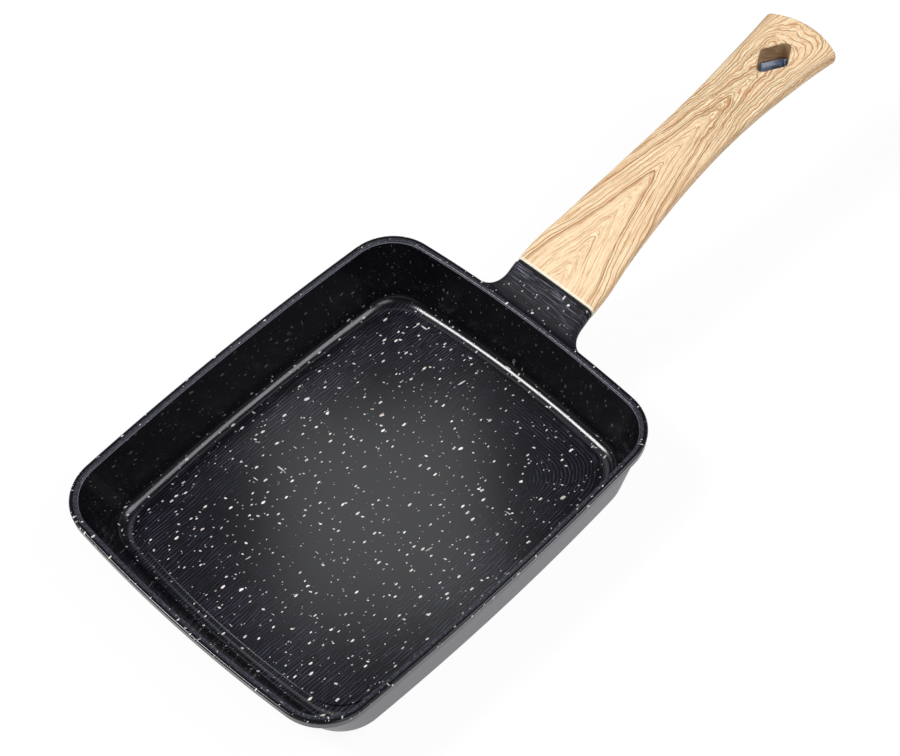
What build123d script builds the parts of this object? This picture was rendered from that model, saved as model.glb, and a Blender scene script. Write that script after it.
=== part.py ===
from build123d import *
from math import cos, radians, sin
import os

# A rectangular rolled-omelette pan: a die-cast aluminium vessel with a cast neck,
# and a moulded wood-look handle screwed to it. Lengths are in millimetres.
# The origin lies on the flat base, under the middle of the rim. +Z is up, and the handle
# runs along +Y.

# Vessel, seen from above
rim_length = 180.0
rim_width = 147.5
long_side_bow = 2.9
short_side_bow = 4.1
rim_corner_radius = 20.5
base_inset = 7.1
front_base_lean = 5.5
base_corner_radius = 18.0

# Vessel, seen from the side
pan_height = 32.0
base_edge_radius = 3.0
wall_top_inset = 1.9
lip_height = 5.0
lip_taper_height = 1.2
lip_taper_inset = 0.3
rim_outer_edge_radius = 0.7
rim_inner_edge_radius = 0.4
rim_thickness = 2.8
floor_thickness = 3.5
floor_inset = 8.6
front_floor_lean = 4.8
floor_corner_radius = 16.0
floor_fillet_radius = 4.5
panel_inset = 14.0
panel_height = 0.5
panel_edge_radius = 0.35

# Neck: the cast arm from the rim to the handle
neck_length = 12.5
neck_flare_radius = 8.5
neck_flare_turn = 75.0
neck_flare_steps = 6
neck_root_inset = 6.0
neck_root_drop = 0.05
neck_root_depth = 20.5
neck_top_power = 1.15
neck_end_edge_radius = 0.5

# Handle, from its front face at the gasket to the middle of its tail
handle_length = 147.5
handle_front_width = 38.1
handle_waist_width = 25.6
handle_tail_width = 34.6
handle_front_top = 38.0
handle_rise = 24.2
rise_power = 2.25
handle_front_depth = 18.5
handle_tail_depth = 14.5
handle_front_crown = 0.3
handle_tail_crown = 0.8
top_edge_radius = 2.0
side_band_height = 2.4
keel_side_share = 0.3
keel_bottom_share = 0.5
tail_arc_height = 4.6
tail_edge_radius = 1.0
front_edge_radius = 0.6

# Gasket between neck and handle
gasket_thickness = 1.0
gasket_inset = 0.35

# Tang: the cast tongue inside the handle, tilted with the handle's first slope
tang_tilt = 17.0
tang_width = 20.0
tang_height = 6.0
tang_length = 27.0
tang_corner_radius = 1.5
tang_root_length = 5.0
tang_axis_drop = 6.2
socket_clearance = 0.3
socket_end_gap = 1.5

# Screw and washers under the handle
screw_position = 15.0
screw_diameter = 5.0
screw_head_diameter = 8.5
screw_head_height = 2.8
screw_head_edge_radius = 1.2
screw_tip_chamfer = 0.5
screw_tip_clearance = 0.6
cross_width = 1.3
cross_length = 5.0
cross_depth = 1.6
screw_seat_wall = 1.8
screw_hole_diameter = 5.5
thread_clearance = 0.05
recess_diameter = 11.0
flat_washer_diameter = 10.0
flat_washer_thickness = 0.8
spring_washer_diameter = 9.2
spring_washer_thickness = 1.2
spring_washer_slit = 0.9
spring_washer_slit_angle = 20.0
washer_bore_diameter = 5.3

# Hanging hole and its steel eyelet
hole_corner_reach_across = 6.7
hole_corner_reach_along = 11.4
hole_corner_radius = 2.2
hole_from_tail = 21.8
hole_rim_radius = 0.9
eyelet_height = 5.0
eyelet_wall = 0.9
eyelet_ledge = 1.6
eyelet_recess = 2.4
eyelet_clearance = 0.05
eyelet_edge_radius = 0.25

# Induction plate in the base
plate_length = 136.0
plate_width = 104.0
plate_corner_radius = 16.0
plate_thickness = 0.8
plate_clearance = 0.1
peg_diameter = 5.0
peg_pitch = 12.0
peg_margin = 7.5

# Cuts run this far past the faces they open
overrun = 2.0

# Handle stations: share of the handle's length, and how much of the front or tail
# width, over the waist's, is left there
front_width_shares = [(0.0, 1.0), (0.06, 0.97), (0.14, 0.69), (0.25, 0.41), (0.36, 0.19), (0.47, 0.05)]
waist_place_share = 0.57
tail_width_shares = [(0.68, 0.1), (0.79, 0.38), (0.9, 0.72), (0.965, 1.0), (1.06, 1.45)]

os.makedirs("parts", exist_ok=True)

neck_end = rim_length / 2 + neck_length
handle_front = neck_end + gasket_thickness
handle_tail = handle_front + handle_length


def pan_outline(height, inset, corner_radius, front_lean=0):
    """Bowed rectangle: each side is an arc between rounded corners, inset from the rim.

    The front side, away from the handle, moves in further by front_lean."""
    half_width = rim_width / 2 - inset
    back_y = rim_length / 2 - inset
    front_y = front_lean - back_y
    corner_x = half_width - long_side_bow
    back_corner_y = back_y - short_side_bow
    front_corner_y = front_y + short_side_bow
    with BuildSketch(Plane.XY.offset(height)) as outline:
        with BuildLine():
            ThreePointArc((corner_x, front_corner_y), (half_width, 0), (corner_x, back_corner_y))
            ThreePointArc((corner_x, back_corner_y), (0, back_y), (-corner_x, back_corner_y))
            ThreePointArc((-corner_x, back_corner_y), (-half_width, 0), (-corner_x, front_corner_y))
            ThreePointArc((-corner_x, front_corner_y), (0, front_y), (corner_x, front_corner_y))
        make_face()
        fillet(outline.vertices(), corner_radius)
    return outline.sketch


def grip_section(place, width, top, depth, crown):
    """Upright section across the arm at Y = place: low crown, short sides, rounded keel."""
    half_width = width / 2
    shoulder = top - side_band_height
    bottom = top - depth
    keel_depth = depth - side_band_height
    side_pull = shoulder - keel_side_share * keel_depth
    bottom_pull = keel_bottom_share * half_width
    with BuildSketch(Plane.XZ.offset(-place)) as section:
        with BuildLine():
            ThreePointArc((-half_width, top), (0, top + crown), (half_width, top))
            Line((half_width, top), (half_width, shoulder))
            Bezier((half_width, shoulder), (half_width, side_pull), (bottom_pull, bottom), (0, bottom))
            Bezier((0, bottom), (-bottom_pull, bottom), (-half_width, side_pull), (-half_width, shoulder))
            Line((-half_width, shoulder), (-half_width, top))
        make_face()
        fillet(section.vertices().group_by(Axis.Y)[-1], top_edge_radius)
    return section.sketch


def along(share, at_front, at_tail):
    """Value that runs evenly from one at the handle's front to another."""
    return at_front + (at_tail - at_front) * share


def handle_top(share):
    """Height of the top edges: a curve that starts steep and levels out at the tail."""
    return handle_front_top + handle_rise * (1 - max(0.0, 1 - share) ** rise_power)


def handle_section(share, width):
    """Handle section at a share of its length."""
    return grip_section(
        handle_front + share * handle_length,
        width,
        handle_top(share),
        along(share, handle_front_depth, handle_tail_depth),
        along(share, handle_front_crown, handle_tail_crown),
    )


# Neck, as a loft of upright sections from the handle back into the pan's wall: straight
# at first, then flared by a quarter arc on each side that meets the rim
flare_root = handle_front_width / 2 + neck_flare_radius
rim_dip = short_side_bow * (flare_root / (rim_width / 2 - long_side_bow)) ** 2
flare_start = neck_length + rim_dip - neck_flare_radius
neck_stations = [(0, 0), (flare_start / 2, 0), (flare_start, 0)]
for step in range(1, neck_flare_steps + 1):
    turn = radians(neck_flare_turn) * step / neck_flare_steps
    neck_stations.append((flare_start + neck_flare_radius * sin(turn), neck_flare_radius * (1 - cos(turn))))
neck_stations.append((neck_length + neck_root_inset, neck_flare_radius * (1 - cos(turn))))
neck_root_top = pan_height - neck_root_drop - handle_front_crown
neck_sections = []
for distance, flare in neck_stations:
    rise_left_share = max(0.0, 1 - distance / neck_length) ** neck_top_power
    neck_sections.append(
        grip_section(
            neck_end - distance,
            handle_front_width + 2 * flare,
            neck_root_top + (handle_front_top - neck_root_top) * rise_left_share,
            along(distance / neck_length, handle_front_depth, neck_root_depth),
            handle_front_crown,
        )
    )
with BuildPart() as neck:
    loft(neck_sections, ruled=True)
    fillet(neck.faces().sort_by(Axis.Y)[-1].edges(), neck_end_edge_radius)

# Planes of the tang and of the screw that crosses it
forward = Vector(0, cos(radians(tang_tilt)), sin(radians(tang_tilt)))
upward = Vector(0, -sin(radians(tang_tilt)), cos(radians(tang_tilt)))
tang_start = Vector(0, neck_end, handle_front_top - tang_axis_drop)
tang_plane = Plane(origin=tang_start, x_dir=(1, 0, 0), z_dir=forward)
screw_plane = Plane(origin=tang_start + forward * screw_position, x_dir=(1, 0, 0), z_dir=upward)
seat = -(tang_height / 2 + socket_clearance + screw_seat_wall)

# Induction plate: perforated steel, flush with the base and centred on it
base_plane = Plane(origin=(0, front_base_lean / 2, 0))
peg_columns = int((plate_width - 2 * peg_margin) / peg_pitch) + 1
peg_rows = int((plate_length - 2 * peg_margin) / peg_pitch) + 1
with BuildPart() as induction_plate:
    with BuildSketch(base_plane):
        RectangleRounded(plate_width, plate_length, plate_corner_radius)
        with GridLocations(peg_pitch, peg_pitch, peg_columns, peg_rows):
            Circle(peg_diameter / 2 + plate_clearance, mode=Mode.SUBTRACT)
    extrude(amount=plate_thickness)
induction_plate.part.label = "induction_plate"
export_step(induction_plate.part, "parts/induction_plate.step")

# Pan body: vessel, lip, neck and tang in one casting
lip_base = pan_height - lip_height
cavity_depth = pan_height - floor_thickness
past_rim_share = 1 + overrun / cavity_depth
cavity_top_inset = floor_inset + (rim_thickness - floor_inset) * past_rim_share
rim_inner_radius = rim_corner_radius - rim_thickness
cavity_top_radius = floor_corner_radius + (rim_inner_radius - floor_corner_radius) * past_rim_share
cavity_top_lean = front_floor_lean * (1 - past_rim_share)
with BuildPart() as pan_body:
    loft(
        [
            pan_outline(0, base_inset, base_corner_radius, front_base_lean),
            pan_outline(lip_base, wall_top_inset, rim_corner_radius - wall_top_inset),
            pan_outline(lip_base + lip_taper_height, lip_taper_inset, rim_corner_radius - lip_taper_inset),
            pan_outline(pan_height, 0, rim_corner_radius),
        ],
        ruled=True,
    )
    fillet(pan_body.edges().group_by(Axis.Z)[0], base_edge_radius)
    fillet(pan_body.edges().group_by(Axis.Z)[-1], rim_outer_edge_radius)
    add(neck.part)
    loft(
        [
            pan_outline(floor_thickness, floor_inset, floor_corner_radius, front_floor_lean),
            pan_outline(pan_height + overrun, cavity_top_inset, cavity_top_radius, cavity_top_lean),
        ],
        ruled=True,
        mode=Mode.SUBTRACT,
    )
    level_faces = pan_body.faces().filter_by(Plane.XY)
    rim_face = level_faces.sort_by(Axis.Z)[-1]
    fillet(rim_face.inner_wires()[0].edges(), rim_inner_edge_radius)
    level_faces = pan_body.faces().filter_by(Plane.XY)
    floor_face = level_faces.filter_by_position(Axis.Z, floor_thickness / 2, pan_height / 2)[0]
    fillet(floor_face.edges(), floor_fillet_radius)
    panel = pan_outline(floor_thickness, panel_inset, floor_corner_radius, front_floor_lean)
    extrude(panel, amount=panel_height)
    level_faces = pan_body.faces().filter_by(Plane.XY)
    panel_face = level_faces.filter_by_position(Axis.Z, floor_thickness, pan_height / 2).sort_by(Axis.Z)[-1]
    fillet(panel_face.edges(), panel_edge_radius)
    with BuildSketch(tang_plane.offset(-tang_root_length)):
        RectangleRounded(tang_width, tang_height, tang_corner_radius)
    extrude(amount=tang_root_length + tang_length)
    with BuildSketch(screw_plane.offset(-tang_height)):
        Circle(screw_diameter / 2 + thread_clearance)
    extrude(amount=2 * tang_height, mode=Mode.SUBTRACT)
    with BuildSketch(base_plane):
        RectangleRounded(
            plate_width + 2 * plate_clearance,
            plate_length + 2 * plate_clearance,
            plate_corner_radius + plate_clearance,
        )
        with GridLocations(peg_pitch, peg_pitch, peg_columns, peg_rows):
            Circle(peg_diameter / 2, mode=Mode.SUBTRACT)
    extrude(amount=plate_thickness, mode=Mode.SUBTRACT)
pan_body.part.label = "pan_body"
export_step(pan_body.part, "parts/pan_body.step")

# Gasket: the handle's front section, a little smaller, with room for the tang
with BuildPart() as neck_gasket:
    gasket_outline = grip_section(
        neck_end,
        handle_front_width - 2 * gasket_inset,
        handle_front_top - gasket_inset,
        handle_front_depth - 2 * gasket_inset,
        handle_front_crown,
    )
    extrude(gasket_outline, amount=-gasket_thickness)
    with BuildSketch(tang_plane.offset(-tang_root_length)):
        RectangleRounded(
            tang_width + 2 * socket_clearance,
            tang_height + 2 * socket_clearance,
            tang_corner_radius + socket_clearance,
        )
    extrude(amount=tang_root_length + tang_length, mode=Mode.SUBTRACT)
neck_gasket.part.label = "neck_gasket"
export_step(neck_gasket.part, "parts/neck_gasket.step")

# Handle: upright sections along a rising curve, cut to an arc at the tail
handle_sections = []
for share, width_share in front_width_shares:
    width = handle_waist_width + (handle_front_width - handle_waist_width) * width_share
    handle_sections.append(handle_section(share, width))
handle_sections.append(handle_section(waist_place_share, handle_waist_width))
for share, width_share in tail_width_shares:
    width = handle_waist_width + (handle_tail_width - handle_waist_width) * width_share
    handle_sections.append(handle_section(share, width))
tail_arc_radius = ((handle_tail_width / 2) ** 2 + tail_arc_height**2) / (2 * tail_arc_height)
tail_arc_centre = handle_tail - tail_arc_radius
hole_place = handle_tail - hole_from_tail
hole_share = (hole_place - handle_front) / handle_length
hole_bottom = handle_top(hole_share) - along(hole_share, handle_front_depth, handle_tail_depth)


def hole_outline(height, margin):
    """Hanging hole seen from above: a rounded diamond, margin smaller all round."""
    with BuildSketch(Plane.XY.offset(height)) as outline:
        with Locations((0, hole_place)):
            Polygon(
                (-hole_corner_reach_across, 0),
                (0, -hole_corner_reach_along),
                (hole_corner_reach_across, 0),
                (0, hole_corner_reach_along),
                align=None,
            )
        fillet(outline.vertices(), hole_corner_radius)
        if margin > 0:
            offset(amount=-margin, kind=Kind.ARC, mode=Mode.REPLACE)
    return outline.sketch


def around_hole(edge):
    """True for the edges of the hanging hole."""
    place = edge.center()
    return abs(place.X) < hole_corner_reach_across and abs(place.Y - hole_place) < hole_corner_reach_along


with BuildPart() as handle:
    loft(handle_sections)
    with BuildSketch(Plane.XY):
        with Locations((0, tail_arc_centre)):
            Circle(tail_arc_radius)
        with Locations((0, (handle_front + tail_arc_centre) / 2)):
            Rectangle(2 * tail_arc_radius, tail_arc_centre - handle_front)
    extrude(amount=2 * (handle_front_top + handle_rise), mode=Mode.INTERSECT)
    fillet(handle.faces().sort_by(Axis.Y)[0].edges(), front_edge_radius)
    tail_face = handle.faces().sort_by(Axis.Y)[-1]
    fillet(tail_face.edges(), tail_edge_radius)
    extrude(hole_outline(0, 0), amount=2 * (handle_front_top + handle_rise), mode=Mode.SUBTRACT)
    hole_edges = handle.edges().filter_by(around_hole)
    fillet(hole_edges.group_by(Axis.Z)[-1] + hole_edges.group_by(Axis.Z)[0], hole_rim_radius)
    with BuildSketch(tang_plane.offset(-tang_root_length)):
        RectangleRounded(
            tang_width + 2 * socket_clearance,
            tang_height + 2 * socket_clearance,
            tang_corner_radius + socket_clearance,
        )
    extrude(amount=tang_root_length + tang_length + socket_end_gap, mode=Mode.SUBTRACT)
    with BuildSketch(screw_plane.offset(seat)):
        Circle(recess_diameter / 2)
    extrude(amount=-handle_front_depth, mode=Mode.SUBTRACT)
    with BuildSketch(screw_plane.offset(seat - overrun)):
        Circle(screw_hole_diameter / 2)
    extrude(amount=screw_seat_wall + socket_clearance + 2 * overrun, mode=Mode.SUBTRACT)
handle.part.label = "handle"
export_step(handle.part, "parts/handle.step")

# Eyelet: a steel cup pressed into the hole from below, with a slot in its floor
eyelet_bottom = hole_bottom + eyelet_recess
with BuildPart() as hanging_eyelet:
    extrude(hole_outline(eyelet_bottom, eyelet_clearance), amount=eyelet_height)
    extrude(
        hole_outline(eyelet_bottom + eyelet_wall, eyelet_clearance + eyelet_wall),
        amount=eyelet_height,
        mode=Mode.SUBTRACT,
    )
    extrude(
        hole_outline(eyelet_bottom - overrun, eyelet_clearance + eyelet_wall + eyelet_ledge),
        amount=eyelet_height,
        mode=Mode.SUBTRACT,
    )
    fillet(hanging_eyelet.edges().group_by(Axis.Z)[-1], eyelet_edge_radius)
hanging_eyelet.part.label = "hanging_eyelet"
export_step(hanging_eyelet.part, "parts/hanging_eyelet.step")

# Washers, stacked down from the seat in the handle's underside
with BuildPart() as flat_washer:
    with BuildSketch(screw_plane.offset(seat)):
        Circle(flat_washer_diameter / 2)
        Circle(washer_bore_diameter / 2, mode=Mode.SUBTRACT)
    extrude(amount=-flat_washer_thickness)
flat_washer.part.label = "flat_washer"
export_step(flat_washer.part, "parts/flat_washer.step")

spring_washer_top = seat - flat_washer_thickness
slit_plane = screw_plane.offset(spring_washer_top).rotated((spring_washer_slit_angle, 0, 0))
with BuildPart() as spring_washer:
    with BuildSketch(screw_plane.offset(spring_washer_top)):
        Circle(spring_washer_diameter / 2)
        Circle(washer_bore_diameter / 2, mode=Mode.SUBTRACT)
    extrude(amount=-spring_washer_thickness)
    with BuildSketch(slit_plane):
        with Locations((spring_washer_diameter / 2, 0)):
            Rectangle(spring_washer_diameter, spring_washer_slit)
    extrude(amount=2 * spring_washer_thickness, both=True, mode=Mode.SUBTRACT)
spring_washer.part.label = "spring_washer"
export_step(spring_washer.part, "parts/spring_washer.step")

# Screw: pan head with a cross recess, shank up into the tang
head_top = spring_washer_top - spring_washer_thickness
with BuildPart() as handle_screw:
    with BuildSketch(screw_plane.offset(head_top)):
        Circle(screw_head_diameter / 2)
    extrude(amount=-screw_head_height)
    head_rim = handle_screw.edges().sort_by(Axis(screw_plane.origin, screw_plane.z_dir))[0]
    fillet(head_rim, screw_head_edge_radius)
    with BuildSketch(screw_plane.offset(head_top)):
        Circle(screw_diameter / 2)
    extrude(amount=tang_height / 2 - screw_tip_clearance - head_top)
    shank_rim = handle_screw.edges().sort_by(Axis(screw_plane.origin, screw_plane.z_dir))[-1]
    chamfer(shank_rim, screw_tip_chamfer)
    with BuildSketch(screw_plane.offset(head_top - screw_head_height)):
        Rectangle(cross_length, cross_width)
        Rectangle(cross_width, cross_length)
    extrude(amount=cross_depth, mode=Mode.SUBTRACT)
handle_screw.part.label = "handle_screw"
export_step(handle_screw.part, "parts/handle_screw.step")
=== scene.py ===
# %% [markdown]
# # A rolled-omelette pan
# A rectangular pan for rolled omelettes is a thin aluminium casting under a speckled
# non-stick coating. A short cast neck carries a moulded handle, printed to look like oak.
# This lesson dresses the imported model of such a pan. The model fixes every size and place,
# so it is loaded first.

# %% Load the imported model
import math
from types import SimpleNamespace

import bmesh
import bpy
import numpy as np
from mathutils import Matrix, Vector


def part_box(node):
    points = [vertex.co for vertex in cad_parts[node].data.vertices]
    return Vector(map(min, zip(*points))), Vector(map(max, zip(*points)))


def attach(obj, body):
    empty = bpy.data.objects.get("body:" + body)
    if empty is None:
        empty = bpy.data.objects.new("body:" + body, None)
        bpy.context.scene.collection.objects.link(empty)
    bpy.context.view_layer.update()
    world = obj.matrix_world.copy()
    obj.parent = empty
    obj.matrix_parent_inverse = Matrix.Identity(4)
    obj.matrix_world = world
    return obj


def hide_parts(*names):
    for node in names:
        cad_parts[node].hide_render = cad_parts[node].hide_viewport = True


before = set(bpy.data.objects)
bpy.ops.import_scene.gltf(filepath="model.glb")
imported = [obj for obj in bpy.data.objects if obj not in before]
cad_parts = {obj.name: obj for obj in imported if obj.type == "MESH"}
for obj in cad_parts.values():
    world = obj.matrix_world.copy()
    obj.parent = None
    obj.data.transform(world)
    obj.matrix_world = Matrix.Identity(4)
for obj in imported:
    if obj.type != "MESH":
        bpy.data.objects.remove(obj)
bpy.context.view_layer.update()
print("packed pieces:", ", ".join(sorted(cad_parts)))

# %% [markdown]
# ## Sizes
# The casting's drawing is in millimetres and Blender works in metres, so each size is
# written as a number of millimetres times one factor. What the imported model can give, such
# as the handle's ends or the plate's size, is read from it instead.

# %% Sizes of the casting and the handle
MM = 0.001
rim_length, rim_width = 180 * MM, 147.5 * MM
long_side_bow, short_side_bow = 2.9 * MM, 4.1 * MM
rim_corner_radius = 20.5 * MM
rim_thickness = 2.8 * MM
rim_outer_edge, rim_inner_edge = 0.7 * MM, 0.4 * MM
lip_height, lip_taper_height = 5 * MM, 1.2 * MM
lip_taper_inset, wall_top_inset = 0.3 * MM, 1.9 * MM
base_inset, base_corner_radius, base_edge = 7.1 * MM, 18 * MM, 3 * MM
front_base_lean, front_floor_lean = 5.5 * MM, 4.8 * MM
floor_thickness, floor_inset = 3.5 * MM, 8.6 * MM
floor_corner_radius, floor_fillet = 16 * MM, 4.5 * MM
panel_inset, panel_height, panel_edge = 14 * MM, 0.5 * MM, 0.05 * MM

pan_height = 32 * MM
neck_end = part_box("neck_gasket")[0][1]
handle_front, handle_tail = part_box("handle")[0][1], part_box("handle")[1][1]
handle_length = handle_tail - handle_front
print(f"neck ends at {neck_end / MM:.1f} mm, handle is {handle_length / MM:.1f} mm long")

# %% [markdown]
# ## Camera
# A camera is a place, a direction and a lens. The place is given in metres from the
# middle of the base. The direction is an azimuth round the pan, an elevation above the
# table and a small roll. Three unit vectors follow from them: back towards the eye, right
# and up. They are the columns of the camera's rotation.

# %% Make the camera
camera_place = Vector((0.3567, -0.2813, 0.7113))
camera_azimuth, camera_elevation = math.radians(47.39), math.radians(54.36)
camera_roll = math.radians(3.92)
camera_lens, sensor_width = 90.7, 36.0

back = Vector((
    math.sin(camera_azimuth) * math.cos(camera_elevation),
    -math.cos(camera_azimuth) * math.cos(camera_elevation),
    math.sin(camera_elevation),
))
level_right = Vector((0, 0, 1)).cross(back).normalized()
level_up = back.cross(level_right)
right = level_right * math.cos(camera_roll) - level_up * math.sin(camera_roll)
up = level_right * math.sin(camera_roll) + level_up * math.cos(camera_roll)

camera = bpy.data.objects.new("camera", bpy.data.cameras.new("camera"))
camera.data.lens, camera.data.sensor_width = camera_lens, sensor_width
camera.matrix_world = Matrix.Translation(camera_place) @ Matrix((right, up, back)).transposed().to_4x4()
bpy.context.scene.collection.objects.link(camera)
bpy.context.scene.camera = camera
print("camera looks along", [round(part, 3) for part in -back])

# %% [markdown]
# ## Meshes from grids
# Most pieces here are surfaces: a grid of points whose rows and columns follow the shape.
# A piece can need several grids, so a small collector keeps their points, their faces and
# a pair of flat coordinates for each point, which the finishes read later as a UV map.
# Neighbouring grids share the places of their border points, and merging doubles sews
# them together. Closing seams and poles works the same way.

# %% A collector for grids
sewing_distance, sliver_length = 0.002 * MM, 0.0005 * MM


class Skin:
    """Grids of points that become one closed mesh."""

    def __init__(self):
        self.points, self.faces, self.flats, self.count = [], [], {}, 0

    def add(self, points, keep=None, **flats):
        """Adds a grid of shape (rows, columns, 3). A face joins each four neighbours.

        keep is a mask of the faces that stay, and each other name is a UV map's pairs."""
        rows, columns = points.shape[:2]
        index = self.count + np.arange(rows * columns).reshape(rows, columns)
        quads = np.stack([index[:-1, :-1], index[:-1, 1:], index[1:, 1:], index[1:, :-1]], axis=-1)
        self.faces.append(quads[keep] if keep is not None else quads.reshape(-1, 4))
        self.points.append(points.reshape(-1, 3))
        for name, pairs in flats.items():
            pairs = np.broadcast_to(pairs, (rows, columns, 2))
            self.flats.setdefault(name, []).append(pairs.reshape(-1, 2))
        self.count += rows * columns

    def make(self, name, replaced, sharp_angle=40):
        """Builds the mesh, sews its borders, turns its faces out and puts it on the root body."""
        mesh = bpy.data.meshes.new(name)
        faces = np.vstack(self.faces)
        mesh.from_pydata(np.vstack(self.points), [], faces.tolist())
        for flat_name, pairs in self.flats.items():
            layer = mesh.uv_layers.new(name=flat_name)
            layer.data.foreach_set("uv", np.vstack(pairs)[faces.ravel()].astype(np.float32).ravel())
        work = bmesh.new()
        work.from_mesh(mesh)
        bmesh.ops.remove_doubles(work, verts=work.verts, dist=sewing_distance)
        bmesh.ops.dissolve_degenerate(work, edges=work.edges, dist=sliver_length)
        bmesh.ops.recalc_face_normals(work, faces=work.faces)
        open_edges = sum(not edge.is_manifold for edge in work.edges)
        volume = work.calc_volume() / MM**3
        print(f"{name}: {len(work.faces)} faces, {open_edges} open edges, {volume:.0f} mm3")
        work.to_mesh(mesh)
        work.free()
        mesh.shade_smooth()
        mesh.set_sharp_from_angle(angle=math.radians(sharp_angle))
        piece = bpy.data.objects.new(name, mesh)
        bpy.context.scene.collection.objects.link(piece)
        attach(piece, "root")
        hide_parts(replaced)
        return piece


# %% [markdown]
# ## The pan's outline
# Seen from above, every level of the casting is the same kind of shape: a rectangle whose
# sides bow out a little, with rounded corners. Each side is an arc through three points,
# and each corner is an arc that touches two sides. A superellipse would be simpler, but
# its corners and sides can't be set apart, so the arcs are worked out as on a drawing.

# %% Outline of bowed sides and round corners
side_steps, corner_steps = 30, 16


def circle_through(first, middle, last):
    """Centre and radius of the circle through three points.

    The centre is equally far from all three. Dotted with the step from one point to
    another, it gives half the difference of their squared lengths: two equations."""
    steps = np.array([middle - first, last - first])
    halves = np.array([middle @ middle - first @ first, last @ last - first @ first]) / 2
    centre = np.linalg.solve(steps, halves)
    return centre, np.linalg.norm(first - centre)


def corner_centre(one, other, radius, near):
    """Centre of the arc that touches two side circles from inside, nearest to a point.

    It is one corner radius inside each, so it is where the two shortened circles cross."""
    (first, reach), (second, other_reach) = one, other
    reach, other_reach = reach - radius, other_reach - radius
    gap = np.linalg.norm(second - first)
    toward = (second - first) / gap
    foot = (gap**2 + reach**2 - other_reach**2) / (2 * gap)
    across = math.sqrt(reach**2 - foot**2) * np.array([-toward[1], toward[0]])
    crossings = [first + foot * toward + across, first + foot * toward - across]
    return min(crossings, key=lambda point: np.linalg.norm(point - near))


def arc(centre, radius, start, end, count):
    """Points of an arc, anticlockwise from start, without its end, and their outward directions."""
    first = math.atan2(*(start - centre)[::-1])
    turn = (math.atan2(*(end - centre)[::-1]) - first) % math.tau
    angles = first + turn * np.arange(count) / count
    outward = np.column_stack([np.cos(angles), np.sin(angles)])
    return centre + radius * outward, outward


def outline(
    half_width, front, back, radius, long_bow=long_side_bow, short_bow=short_side_bow, middle=0.0
):
    """Closed outline, anticlockwise from the right side's front end, and its outward directions.

    The last point repeats the first, so that a grid made of outlines closes on itself."""
    x, low, high = half_width - long_bow, front + short_bow, back - short_bow
    corners = np.array([(x, low), (x, high), (-x, high), (-x, low)])
    middles = np.array([(half_width, middle), (0, back), (-half_width, middle), (0, front)])
    sides = [circle_through(corners[k], middles[k], corners[(k + 1) % 4]) for k in range(4)]
    centres = [corner_centre(sides[k - 1], sides[k], radius, corners[k]) for k in range(4)]

    def touch(side, centre):
        return side[0] + (centre - side[0]) / np.linalg.norm(centre - side[0]) * side[1]

    stretches = []
    for k in range(4):
        side, after = sides[k], (k + 1) % 4
        turn = centres[after]
        end = touch(side, turn)
        stretches.append(arc(*side, touch(side, centres[k]), end, side_steps))
        stretches.append(arc(turn, radius, end, touch(sides[after], turn), corner_steps))
    points, outward = (np.vstack(parts) for parts in zip(*stretches))
    return np.vstack([points, points[:1]]), np.vstack([outward, outward[:1]])


def pan_outline(inset, radius, lean):
    """Outline of the casting at a level: inset from the rim all round, and lean more in front."""
    half_length = rim_length / 2 - inset
    return outline(rim_width / 2 - inset, lean - half_length, half_length, radius)


rim_line, _ = pan_outline(0, rim_corner_radius, 0)
print(f"{len(rim_line) - 1} points round the rim, {np.ptp(rim_line[:, 0]) / MM:.1f} mm wide")

# %% [markdown]
# ## The vessel's profile
# The casting's wall is one line from the base up the outside, over the rim and down the
# inside to the floor. Each corner of that line has an inset, a height, the outline's
# corner radius there and the front's lean. Blender's Bevel could round the edges, but
# rounding the profile itself gives clean rows and exact radii.

# %% Round a profile's corners
def rounded(stations, radii, steps=6, hold=0.15 * MM):
    """Profile of many points from a few corner stations.

    Each rounding is a quadratic curve from one arm to the other through the corner's pull,
    weighted by the sine of half the angle between the arms: that makes it a true arc. A
    point just beyond each end keeps the flat beside it flat when it is shaded smooth."""
    path = [stations[:1]]
    for before, corner, after, radius in zip(stations, stations[1:], stations[2:], radii):
        arms = np.array([before - corner, after - corner])
        arms /= np.linalg.norm(arms[:, :2], axis=1)[:, None]
        half = math.acos(np.clip(arms[0, :2] @ arms[1, :2], -1, 1)) / 2
        if radius == 0:
            path += [corner[None] + arms[:1] * hold, corner[None], corner[None] + arms[1:] * hold]
            continue
        start, end = corner + arms * radius / math.tan(half)
        t = np.linspace(0, 1, steps + 1)[:, None]
        weights = np.stack([(1 - t) ** 2, 2 * math.sin(half) * t * (1 - t), t**2])
        curve = (weights[0] * start + weights[1] * corner + weights[2] * end) / weights.sum(axis=0)
        path += [start[None] + arms[0] * hold, curve, end[None] + arms[1] * hold]
    path.append(stations[-1:])
    return np.vstack(path)


lip_base = pan_height - lip_height
panel_top = floor_thickness + panel_height
underside_step, panel_step = 5 * MM, 3 * MM
stations = np.array([
    (base_inset + underside_step, 0, base_corner_radius - underside_step, front_base_lean),
    (base_inset, 0, base_corner_radius, front_base_lean),
    (wall_top_inset, lip_base, rim_corner_radius - wall_top_inset, 0),
    (lip_taper_inset, lip_base + lip_taper_height, rim_corner_radius - lip_taper_inset, 0),
    (0, pan_height, rim_corner_radius, 0),
    (rim_thickness, pan_height, rim_corner_radius - rim_thickness, 0),
    (floor_inset, floor_thickness, floor_corner_radius, front_floor_lean),
    (panel_inset, floor_thickness, floor_corner_radius, front_floor_lean),
    (panel_inset, panel_top, floor_corner_radius, front_floor_lean),
    (panel_inset + panel_step, panel_top, floor_corner_radius - panel_step, front_floor_lean),
])
edge_radii = [base_edge, 0, 0, rim_outer_edge, rim_inner_edge, floor_fillet, 0, panel_edge]
profile = rounded(stations, edge_radii)
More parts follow.
